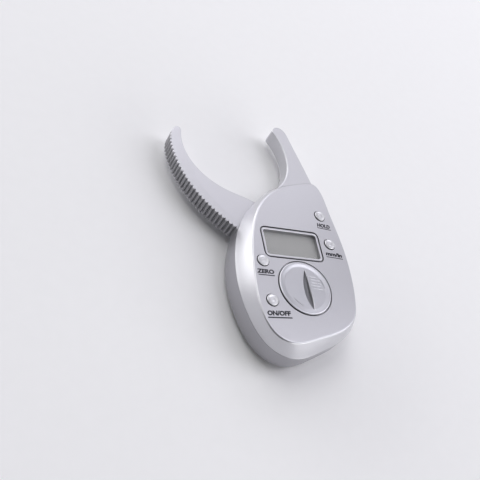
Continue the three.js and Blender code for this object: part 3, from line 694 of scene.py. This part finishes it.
def moving_jaw():
    edge = smooth(THUMB_EDGE, 900)
    total = along(edge)[-1]
    pitch, count = 2.146, 31
    lo = 12.15 - 0.26 * pitch
    hi = lo + count * pitch
    at, off = [], []
    for k in range(10):
        at.append(lo * k / 10)
        off.append(0.5 * min(1.0, k / 6))
    shape = ((0.0, 0.44), (0.05, 0.28), (0.11, 0.02), (0.16, -0.20), (0.21, -0.32), (0.26, -0.35), (0.31, -0.32), (0.36, -0.20), (0.41, 0.02), (0.47, 0.28),
             (0.52, 0.44), (0.60, 0.53), (0.76, 0.56), (0.92, 0.53))
    for k in range(count):
        # the last two grooves run out towards the tip
        keep = (1.0, 0.75, 0.4)[max(0, k - count + 3)]
        low = 0.5 * min(1.0, (total - (lo + k * pitch)) / 4.0)
        for f, h in shape:
            at.append(lo + (k + f) * pitch)
            off.append(low + (h - 0.5) * keep)
    at.append(total)
    off.append(0.0)
    at, off = np.array(at), np.array(off)
    base = resample(edge, at)
    nb = outward(edge, closed=False)
    nb = np.stack([np.interp(at, along(edge), nb[:, k]) for k in range(2)], 1)
    nb /= np.hypot(nb[:, 0], nb[:, 1])[:, None]
    nb = -nb  # the edge runs clockwise round the arm, so outside is on its left
    thumb = base + nb * off[:, None]
    tip = smooth([(-49.4, 88.02), (-48.7, 89.8), (-47.2, 91.15), (-45.7, 91.3), (-44.75, 90.2), (-44.62, 88.48)], 26)[1:-1]
    inner = smooth(SWING_INNER, 120)
    hub = [(PIVOT[0] + 9.7 * math.cos(math.radians(50.7 - 203.1 * k / 40)), PIVOT[1] + 9.7 * math.sin(math.radians(50.7 - 203.1 * k / 40))) for k in range(1, 40)]
    line = np.concatenate([thumb, tip, inner, np.array(hub)])
    # counter-clockwise for the slab
    line = line[::-1].copy()
    m = len(line)
    is_thumb = np.zeros(m, bool)
    is_thumb[m - len(thumb):] = True
    # shallow sloped band along the thumb edge, inside a crease that runs out near the tip
    crease = smooth([(-16.5, 33.2), (-21.2, 37.6), (-25.4, 40.7), (-29.2, 44.3), (-33.4, 49.4), (-36.8, 53.9), (-39.6, 59.0), (-41.3, 63.6), (-43.4, 70.0)], 60)
    drop = np.zeros(m)
    for j in np.where(is_thumb)[0]:
        dist = np.hypot(*(crease - line[j]).T).min()
        s_fade = np.clip((72.0 - line[j][1]) / 22.0, 0, 1) * np.clip((line[j][1] - 30.0) / 4.0, 0, 1)
        drop[j] = 0.085 * dist * s_fade
    r_front = np.full(m, 0.42)
    r_front[is_thumb] = 0.16
    r_back = np.full(m, 0.5)
    r_back[is_thumb] = 0.2
    ob = slab("moving_jaw_arm", line, r_front, r_back, drop=drop, crease=crease, steps=4)
    cut = [lathe("c", [(0, 0), (7.2, 0), (7.2, 6.6), (3.7, 6.6), (3.7, 9.6), (5.7, 9.6), (5.7, 14), (0, 14)], PIVOT, 64),
           prism("c", [(-9.6, 31.2), (-8.6, 32.4), (-13.4, 36.4), (-14.4, 35.2)], 0.5, 6.1)]
    boolean(ob, cut)
    return done(ob, "swing_jaw", SILVER_SWING, "moving_jaw", slot="silver_jaw", angle=24.0, sharp=crease)


moving = moving_jaw()


def fixed_jaw():
    out = smooth(FIXED_OUTER, 90)
    tip = smooth([(18.27, 100.41), (17.3, 102.8), (15.1, 104.75), (12.5, 104.95), (10.5, 103.6), (9.5, 101.9), (9.25, 101.05)], 44)[1:]
    inn = smooth(FIXED_INNER, 110)
    line = np.concatenate([out, tip, inn[1:], np.array(FIXED_ROOT)])
    m = len(line)
    rf = np.full(m, 0.3)
    rb = np.full(m, 0.6)
    k_out = np.arange(m)
    rf[: len(out)] = 0.55
    rb[: len(out)] = 1.0
    t0 = len(out)
    t1 = t0 + len(tip)
    rf[t0:t1] = np.linspace(0.55, 0.4, t1 - t0)
    # wide soft edge towards the other jaw, running out at the tip
    k_in = np.arange(len(inn) - 1)
    rf[t1:t1 + len(k_in)] = np.interp(k_in, [0, 26, len(k_in) - 6, len(k_in) - 1], [0.5, 0.8, 0.85, 0.5])
    rf[-6:] = 0.15
    ob = slab("fixed_jaw_arm", line, rf, rb, steps=5)
    boolean(ob, [cyl("c", CASE_SCREWS[i][0], CASE_SCREWS[i][1], 1.25, 0, 14, 24) for i in (3, 4)])
    return done(ob, "case", SILVER_JAW, "fixed_jaw", slot="silver_jaw", angle=28.0)


fixed = fixed_jaw()


# -------------------------------------------------------------- battery cover
def battery_cover():
    x, y = BATT
    top = 20.1                     # level of the disc inside its raised rim
    prof = [(0, 17.9), (11.5, 17.9), (11.5, 19.25), (13.0, 19.25), (13.12, 19.32), (13.15, 19.45)]
    for k in range(0, 9):
        q = math.pi / 2 * k / 8
        prof.append((13.15 - 0.75 * (1 - math.cos(q)), 20.36 - 0.5 * (1 - math.sin(q))))
    for k in range(1, 15):
        q = k / 14
        prof.append((12.4 - 2.2 * q, top - 0.04 + 0.28 * (0.5 + 0.5 * math.cos(math.pi * q)) ** 0.85))
    prof += [(9.6, top - 0.03), (6.0, top + 0.02), (3.0, top + 0.05), (0, top + 0.06)]
    lid = lathe("battery_cover_disc", prof, BATT, 180)
    wall = lathe("u", [(10.6, 16.4), (11.5, 16.4), (11.5, 18.2), (10.6, 18.2), (10.6, 16.4)], BATT, 96)
    boolean(lid, [wall], "UNION")
    # coin slot: bowed scoop on the left, straight wall on the right
    right = smooth([(2.05, -9.9), (2.5, -6.6), (2.45, -2.0), (2.25, 2.3), (2.05, 6.2), (1.7, 10.4)], 24)
    left = smooth([(1.7, 10.4), (0.35, 7.0), (-0.6, 3.5), (-1.0, -0.9), (-0.5, -5.0), (0.6, -7.9), (2.05, -9.9)], 30)[1:-1]
    mouth = np.concatenate([right, left])
    nr = len(right)
    shoal = np.interp(mouth[:, 1], [-9.9, 2.0, 5.0, 10.4], [1.0, 1.0, 0.72, 0.5])
    rings = []
    for depth, pull, ease in ((-1.5, 0.0, 0.3), (-0.02, 0.0, 0.3), (0.04, 0.01, 0.24), (0.34, 0.06, 0.0), (0.8, 0.2, 0.0), (1.25, 0.42, 0.0), (1.55, 0.74, 0.0)):
        ring = mouth.copy()
        ring[nr:, 0] += (np.interp(ring[nr:, 1], right[:, 1], right[:, 0]) - ring[nr:, 0]) * pull
        ring[:, 1] = y - 0.6 + (ring[:, 1] - (y - 0.6)) * (1 - 0.10 * pull)
        ring[:nr, 0] += ease - 0.02 * pull
        rings.append(np.c_[ring, top + 0.07 - np.where(depth > 0, depth * shoal, depth)])
    cut = [loft("c", rings[::-1])]
    # moulded marks: five raised lines on the right, an arc on the left
    def stroke(p, q, w, lift=0.19):
        p, q = np.array(p, float), np.array(q, float)
        d = (q - p) / np.hypot(*(q - p))
        pts = []
        for k in range(7):
            a = math.radians(-90 + 180 * k / 6)
            pts.append(q + (d * math.cos(a) + np.array([-d[1], d[0]]) * math.sin(a)) * w / 2)
        for k in range(7):
            a = math.radians(90 + 180 * k / 6)
            pts.append(p + (d * math.cos(a) + np.array([-d[1], d[0]]) * math.sin(a)) * w / 2)
        pts = np.array(pts)
        mid = (p + q) / 2
        rings = []
        for z, pull in ((top - 0.3, 0.0), (top + 0.01, 0.0), (top + 0.01 + lift * 0.45, 0.16), (top + 0.01 + lift * 0.8, 0.4), (top + 0.01 + lift, 0.72)):
            u = (pts - mid) @ d
            v = (pts - mid) @ np.array([-d[1], d[0]])
            u = np.sign(u) * (np.abs(u) - w / 2 * pull)
            v = v * (1 - pull)
            o = mid + u[:, None] * d + v[:, None] * np.array([-d[1], d[0]])
            rings.append(np.c_[o, np.full(len(o), z)])
        return loft("c", rings)
    boolean(lid, cut)
    marks = [stroke((xa, yy), (xb, yb), 0.78) for xa, yy, xb, yb in
             ((3.6, 6.75, 6.6, 6.6), (3.7, 5.45, 8.5, 5.2), (3.75, 3.95, 8.5, 3.65), (3.8, 2.5, 8.1, 2.2), (3.8, 1.0, 8.6, 0.65))]

    def bow(name, r0, r1, a0, a1, w, lift):
        """Raised line on an arc whose radius goes from r0 to r1."""
        rows = []
        for k in range(29):
            t = k / 28
            a, r = math.radians(a0 + (a1 - a0) * t), r0 + (r1 - r0) * t
            end = min(1.0, 0.35 + 6 * t, 0.35 + 6 * (1 - t))
            rise = lift * min(1.0, 0.04 + 5 * t, 0.04 + 5 * (1 - t))
            rows.append(np.array([(x + (r + d * w * end) * math.cos(a), y + (r + d * w * end) * math.sin(a), top + z) for d, z in
                                  ((0.5, -0.3), (0.5, -0.02), (0.25, rise), (-0.25, rise), (-0.5, -0.02), (-0.5, -0.3))]))
        return done(loft(name, rows), "battery_lid", SILVER_LID, slot="silver_shell", angle=40.0)
    bow("battery_cover_arc_left", 8.75, 9.4, 213, 254, 0.5, 0.1)
    bow("battery_cover_arc_right", 10.3, 10.3, -6, 34, 0.5, 0.1)
    boolean(lid, marks, "UNION")
    return done(lid, "battery_lid", SILVER_LID, "battery_cover", slot="silver_shell", angle=28.0)


lid = battery_cover()


# -------------------------------------------------------------------- buttons
def button(key):
    p = BUTTONS[key]
    prof = [(0, 17.0), (1.3, 17.0), (1.3, 17.2), (3.4, 17.2), (3.4, 17.7), (2.72, 17.7), (2.72, 20.2)]
    for k in range(1, 8):
        q = math.pi / 2 * k / 7
        prof.append((2.72 - 0.3 * (1 - math.cos(q)), 20.2 + 0.28 * math.sin(q)))
    # raised ring, then a shallow dish with a small boss in the middle
    prof += [(2.2, 20.48), (2.0, 20.44), (1.8, 20.36), (1.6, 20.31), (1.3, 20.29), (1.0, 20.3), (0.8, 20.34), (0.62, 20.38), (0.4, 20.4), (0.2, 20.405), (0, 20.405)]
    ob = lathe(f"button_{key}_cap", prof, p, 72)
    return done(ob, f"key_{key}", SILVER_BUTTON, f"button_{key}", slot="silver_button", angle=35.0)


for key in BUTTONS:
    button(key)


# -------------------------------------------------------------------- display
def rect_plate(name, x0, x1, y0, y1, z0, z1, r=0.3, e=0.08):
    rings = []
    for ins, z in ((e, z0), (0.0, z0 + e), (0.0, z1 - e), (e * 0.3, z1 - e * 0.3), (e, z1)):
        o = round_rect(x0 + ins, x1 - ins, y0 + ins, y1 - ins, max(r - ins, 0.05), 5)
        rings.append(np.c_[o, np.full(len(o), z)])
    return loft(name, rings)


panel_sheet = rect_plate("lcd_panel_sheet", -16.2, 13.2, 16.0, 30.8, 16.5, 17.98, 0.4)
done(panel_sheet, "case", LCD, "lcd_glass", slot="lcd_panel", angle=35.0)
pane = rect_plate("display_window_pane", WIN[0] - 0.7, WIN[1] + 0.6, WIN[2] - 0.8, WIN[3] + 0.9, 18.05, 18.7, 1.3)
done(pane, "case", CLEAR, "display_window", slot="clear_window", angle=35.0)


# --------------------------------------------------------------------- labels
def label(name, words, centre, width, height, bar, turn=0.0):
    """Printed function word with the bar under it, a hair above the face plate, turned a few degrees."""
    cu = bpy.data.curves.new(name, "FONT")
    cu.body = words
    cu.size = 1.0
    cu.align_x = "CENTER"
    cu.align_y = "CENTER"
    cu.offset = 0.056
    cu.resolution_u = 4
    tmp = bpy.data.objects.new(name + "_t", cu)
    SCENE.collection.objects.link(tmp)
    dg = bpy.context.evaluated_depsgraph_get()
    me = bpy.data.meshes.new_from_object(tmp.evaluated_get(dg))
    bpy.data.objects.remove(tmp)
    bm = bmesh.new()
    bm.from_mesh(me)
    bpy.data.meshes.remove(me)
    xs = [v.co.x for v in bm.verts]
    ys = [v.co.y for v in bm.verts]
    sx, sy = width / (max(xs) - min(xs)), height / (max(ys) - min(ys))
    cx, cy = (max(xs) + min(xs)) / 2, (max(ys) + min(ys)) / 2
    for v in bm.verts:
        v.co.x = centre[0] + (v.co.x - cx) * sx + (v.co.y - cy) * sy * 0.12
        v.co.y = centre[1] + (v.co.y - cy) * sy
        v.co.z = FACE_Z + 0.035
    top = list(bm.faces)
    r = bmesh.ops.extrude_face_region(bm, geom=top)
    for g in r["geom"]:
        if isinstance(g, bmesh.types.BMVert):
            g.co.z = FACE_Z + 0.005
    bx0, bx1, by, bt = bar
    o = round_rect(bx0, bx1, by - bt / 2, by + bt / 2, bt * 0.45, 3)
    lo = [bm.verts.new((p[0], p[1], FACE_Z + 0.005)) for p in o]
    hi = [bm.verts.new((p[0], p[1], FACE_Z + 0.035)) for p in o]
    bm.faces.new(hi)
    bm.faces.new(lo[::-1])
    for j in range(len(o)):
        k = (j + 1) % len(o)
        bm.faces.new((lo[j], lo[k], hi[k], hi[j]))
    bmesh.ops.recalc_face_normals(bm, faces=bm.faces)
    me = bpy.data.meshes.new(name)
    bm.to_mesh(me)
    bm.free()
    pin = Matrix.Translation((centre[0], centre[1], 0.0))
    me.transform(Matrix.Scale(MM, 4) @ pin @ Matrix.Rotation(math.radians(turn), 4, "Z") @ pin.inverted())
    ob = bpy.data.objects.new(name, me)
    SCENE.collection.objects.link(ob)
    me.materials.append(INK)
    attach(ob, "case")
    return ob


label("label_zero", "ZERO", (-18.7, 7.5), 8.5, 2.2, (-22.6, -14.5, 5.65, 0.46), 0.0)
label("label_on_off", "ON/OFF", (-16.4, -12.35), 11.4, 2.3, (-22.2, -10.3, -14.4, 0.6), 1.5)
label("label_hold", "HOLD", (19.2, 36.15), 7.2, 2.2, (15.3, 23.1, 34.45, 0.4), -4.0)
label("label_mm_in", "mm/in", (20.75, 20.3), 9.0, 2.15, (16.2, 25.4, 18.45, 0.4), -3.0)

# ------------------------------------------- finishes of the remaining CAD nodes
CARRIED = {
    "pivot_screw": STEEL, "pivot_washer": NYLON, "rotor_plate": COPPER, "torsion_spring": SPRING, "circuit_board": BOARD,
    "board_screw_1": STEEL, "board_screw_2": STEEL, "board_screw_3": STEEL, "lcd_connector_lower": RUBBER,
    "lcd_connector_upper": RUBBER, "controller_chip": RESIN, "clock_crystal": STEEL, "coin_cell": STEEL,
    "battery_contact_negative": COPPER, "battery_contact_positive": COPPER, "battery_cover_seal": RUBBER,
}
for key in BUTTONS:
    CARRIED[f"switch_{key}"] = RESIN
for name, material in CARRIED.items():
    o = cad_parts[name]
    o.data.materials.clear()
    o.data.materials.append(material)


def case_screw(i):
    x, y = CASE_SCREWS[i]
    prof = [(0, 0.5), (1.5, 0.5), (1.95, 0.56), (2.14, 0.68), (2.2, 0.85), (2.2, 1.9), (0.9, 2.0), (0.9, 15.6), (0.5, 16.0), (0, 16.0)]
    ob = lathe(f"case_screw_{i + 1}_turned", prof, (x, y), 48)
    rot = 0.5 + i * 0.9
    cs, sn = math.cos(rot), math.sin(rot)
    cross = []
    for px, py in ((1.25, 0.26), (0.26, 1.25)):
        pts = [(-px, -py), (px, -py), (px, py), (-px, py)]
        o = np.array([(x + a * cs - b * sn, y + a * sn + b * cs) for a, b in pts])
        mid = o.mean(0)
        cross.append(loft("c", [np.c_[o, np.full(4, 0.0)], np.c_[o, np.full(4, 0.5)], np.c_[mid + (o - mid) * 0.55, np.full(4, 1.25)]]))
    boolean(ob, cross)
    return done(ob, "case", STEEL, f"case_screw_{i + 1}", slot="steel", angle=30.0)


for i in range(5):
    case_screw(i)

# ---------------------------------------------------------------------- floor
def floor():
    # very large pale sheet under the object
    me = bpy.data.meshes.new("floor_sheet")
    s = 4.0
    n = 8
    verts = [(-s + 2 * s * i / n, -s + 2 * s * j / n, -0.0002) for j in range(n + 1) for i in range(n + 1)]
    faces = [(j * (n + 1) + i, j * (n + 1) + i + 1, (j + 1) * (n + 1) + i + 1, (j + 1) * (n + 1) + i) for j in range(n) for i in range(n)]
    me.from_pydata(verts, [], faces)
    ob = bpy.data.objects.new("floor_sheet", me)
    SCENE.collection.objects.link(ob)
    m = plastic("floor_paper", (0.93, 0.93, 0.935), 0.75, grain=0.03, scale=300.0, spec=0.2, mottle=0.004)
    me.materials.append(m)


floor()

# --------------------------------------------------------------------- lights
SCENE.view_settings.view_transform = "Standard"
world = bpy.data.worlds.new("studio")
SCENE.world = world
world.use_nodes = True
wn = world.node_tree
bg = wn.nodes["Background"]
bg.inputs["Color"].default_value = (0.93, 0.94, 0.97, 1)
bg.inputs["Strength"].default_value = 0.004
# seen straight on, behind the floor, the studio is as pale as the floor
pale = wn.nodes.new("ShaderNodeBackground")
pale.inputs["Color"].default_value = (0.86, 0.86, 0.865, 1)
pale.inputs["Strength"].default_value = 0.85
path = wn.nodes.new("ShaderNodeLightPath")
pick = wn.nodes.new("ShaderNodeMixShader")
wn.links.new(path.outputs["Is Camera Ray"], pick.inputs[0])
wn.links.new(bg.outputs[0], pick.inputs[1])
wn.links.new(pale.outputs[0], pick.inputs[2])
wn.links.new(pick.outputs[0], wn.nodes["World Output"].inputs["Surface"])


def area(name, loc, target, size, power, color=(1, 1, 1), size_y=None):
    li = bpy.data.lights.new(name, "AREA")
    li.energy = power
    li.color = color
    li.size = size
    if size_y:
        li.shape = "RECTANGLE"
        li.size_y = size_y
    ob = bpy.data.objects.new(name, li)
    SCENE.collection.objects.link(ob)
    ob.location = loc
    d = Vector(target) - Vector(loc)
    ob.rotation_mode = "QUATERNION"
    ob.rotation_quaternion = d.to_track_quat("-Z", "Y")
    return ob


def panel(name, azimuth, height, power, width):
    """Soft box 2.5 m from the object, turned to it."""
    a, e = math.radians(azimuth), math.radians(height)
    loc = (2.5 * math.cos(a) * math.cos(e), 0.03 + 2.5 * math.sin(a) * math.cos(e), 0.01 + 2.5 * math.sin(e))
    tone = (0.985, 0.975, 1.045) if azimuth < 95 else (1.0, 1.0, 1.0)
    area(name, loc, (0, 0.03, 0.01), width * 2.5, 62.5 * power, tone, size_y=(0.8 if height > 80 else 0.46) * 2.5)


for name, azimuth, height, power in (
        ("low_far_right", 30, 9, 0.05), ("low_far", 90, 9, 0.075), ("low_far_left", 120, 9, 0.273), ("low_left", 150, 9, 0.207),
        ("low_left_2", 180, 9, 0.03), ("low_near_right", 300, 9, 0.345), ("low_right", 330, 9, 0.23), ("mid_right", 0, 33, 0.17),
        ("mid_far_right", 30, 33, 0.022), ("mid_far_right_2", 60, 33, 0.095), ("mid_far", 90, 33, 0.13), ("mid_far_left", 120, 33, 0.045),
        ("high_right", 0, 59, 0.205), ("high_far_right", 60, 59, 0.04), ("high_far_left", 120, 59, 0.222), ("top", 0, 89, 0.1)):
    panel(name, azimuth, height, power, {9: 0.56, 33: 0.5, 59: 0.55, 89: 0.8}[height])

# --------------------------------------------------------------------- camera
cam_data = bpy.data.cameras.new("camera")
cam = bpy.data.objects.new("camera", cam_data)
SCENE.collection.objects.link(cam)
cam_data.sensor_width = 36.0
cam_data.lens = 630.85 / 480 * 36.0
cam_data.clip_start, cam_data.clip_end = 0.02, 20.0
ex = Vector((0.88680, 0.10644, 0.44973))       # row axes seen in camera axes (x right, y down, z ahead)
ey = Vector((-0.16025, -0.84192, 0.51526))
ez = Vector((0.43348236, -0.52900689, -0.72955106))
ray = Vector(((306.0 - 240.0) / 630.85, (289.7 - 240.0) / 630.85, 1.0))
o_cam = ray * (-0.200 / ez.dot(ray))            # point of the face plate over the row origin
loc = Vector((-ex.dot(o_cam), -ey.dot(o_cam), -ez.dot(o_cam) + FACE_Z * MM))
right = Vector((ex.x, ey.x, ez.x)).normalized()
up = -Vector((ex.y, ey.y, ez.y))
back = -Vector((ex.z, ey.z, ez.z)).normalized()
up = (up - right * up.dot(right)).normalized()
back = right.cross(up)
cam.matrix_world = Matrix(((right.x, up.x, back.x, loc.x), (right.y, up.y, back.y, loc.y), (right.z, up.z, back.z, loc.z), (0, 0, 0, 1)))
SCENE.camera = cam
